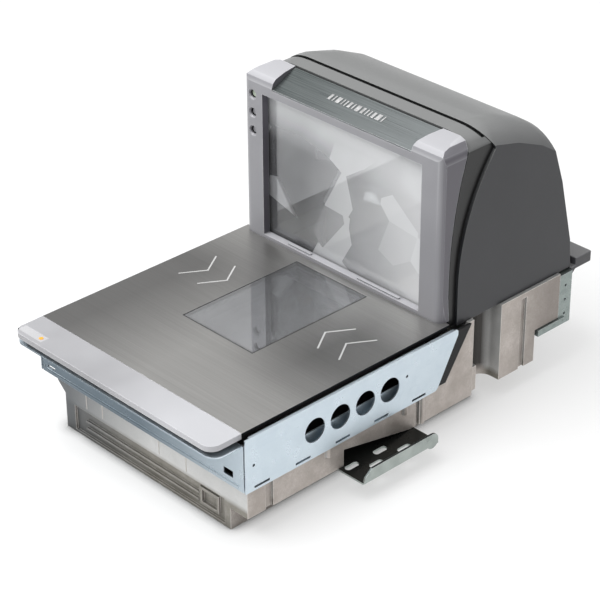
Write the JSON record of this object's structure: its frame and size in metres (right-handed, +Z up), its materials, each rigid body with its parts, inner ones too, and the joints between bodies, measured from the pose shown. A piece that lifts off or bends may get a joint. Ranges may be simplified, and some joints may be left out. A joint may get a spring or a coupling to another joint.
{
  "type": "in-counter bioptic scanner-scale",
  "caption": "In-counter code scanner with a lift-off weighing platter and window, a hooded tower with a second window, and a die-cast base with sheet-metal sides.",
  "frame": {"origin": "centre of the base casting's bottom plane, midway between the front trim's edge and the rear rail's edge", "axes": "+X to the operator's right, +Y from the operator's edge to the tower, +Z up"},
  "size_m": [0.346, 0.508, 0.297],
  "materials": {
    "cast_base": "die-cast, mottled",
    "zinc_sheet": "zinc plated sheet",
    "rear_zinc": "zinc plated sheet, dulled",
    "pale_plastic": "pale grey",
    "black_seal": "matte black",
    "bracket_steel": "zinc plated, worn edges",
    "screw_steel": "plated",
    "rail_paint": "satin charcoal",
    "dark_plastic": "matte black",
    "clear_glass": "clear, polished",
    "mirror_glass": "front-silvered",
    "cell_alloy": "machined",
    "rubber_pad": "soft matte",
    "circuit_board": "solder mask",
    "winding": "enamelled copper",
    "bronze": "sintered",
    "turned_steel": "turned",
    "platter_steel": "brushed along the width",
    "trim_plastic": "satin silver",
    "bezel_plastic": "satin silver",
    "label_film": "blank film",
    "amber_film": "amber",
    "insert_metal": "dark brushed",
    "emblem_metal": "bright",
    "bonnet_plastic": "fine grained charcoal",
    "band_plastic": "fine grained charcoal, darker sides",
    "inlay_paint": "pale filling",
    "indicator_plastic": "milky translucent",
    "button_plastic": "satin grey"
  },
  "bodies": {
    "base": {"base_casting": "cast_base", "front_panel": "zinc_sheet", "side_panel_right": "zinc_sheet", "side_panel_left": "zinc_sheet", "edge_seals": "black_seal", "lip_gasket": "black_seal", "bracket_right": "bracket_steel", "bracket_left": "bracket_steel", "bracket_screws": "screw_steel", "rear_panel": "rear_zinc", "rear_rail": "rail_paint", "rail_screws": "screw_steel", "optics_shroud": "dark_plastic", "inner_window": "clear_glass", "inner_window_seal": "black_seal", "lower_mirror_frame": "dark_plastic", "lower_mirrors": "mirror_glass", "load_cell": "cell_alloy", "load_cell_bolts": "screw_steel", "platter_support": "cast_base", "support_pads": "rubber_pad", "motor_board": "circuit_board", "motor_stator": "winding", "bearing_sleeve": "bronze", "laser_module": "bronze", "laser_mount": "cell_alloy", "collector_lens": "clear_glass", "lens_holder": "dark_plastic", "detector_board": "circuit_board", "main_board": "circuit_board", "interface_jacks": "dark_plastic", "tower_frame": "dark_plastic", "tower_screws": "screw_steel", "upper_mirror_frame": "pale_plastic", "upper_mirrors": "mirror_glass", "vertical_window": "clear_glass", "window_gasket": "black_seal", "speaker": "dark_plastic", "button_housing": "dark_plastic", "button_board": "circuit_board", "indicator_lens": "indicator_plastic", "bonnet": "bonnet_plastic", "brow": "band_plastic"},
    "platter": {"platter_plate": "platter_steel", "platter_frame": "dark_plastic", "platter_window": "clear_glass", "window_seal": "black_seal", "chevron_marks": "inlay_paint", "front_trim": "trim_plastic", "trim_label": "label_film", "amber_marker": "amber_film", "bezel": "bezel_plastic", "bezel_insert": "insert_metal", "emblem_bars": "emblem_metal", "bezel_screws": "screw_steel"},
    "wheel": {"motor_rotor": "turned_steel", "facet_wheel": "mirror_glass"},
    "volume_key": {"volume_button": "button_plastic"},
    "zero_key": {"zero_button": "button_plastic"}
  },
  "joints": [
    {"name": "platter_lift", "type": "slide", "parent": "base", "child": "platter", "axis": [0, 0, 1], "range_m": [0, 0.1]},
    {"name": "wheel_spin", "type": "hinge", "parent": "base", "child": "wheel", "pos_m": [0, 0.065, 0.04], "axis": [0, 0, 1], "continuous": true},
    {"name": "volume_press", "type": "slide", "parent": "base", "child": "volume_key", "axis": [0, 1, 0], "range_m": [0, 0.0015], "stiffness_N_per_m": 300, "springref_m": -0.0005},
    {"name": "zero_press", "type": "slide", "parent": "base", "child": "zero_key", "axis": [0, 1, 0], "range_m": [0, 0.0015], "stiffness_N_per_m": 300, "springref_m": -0.0005}
  ]
}
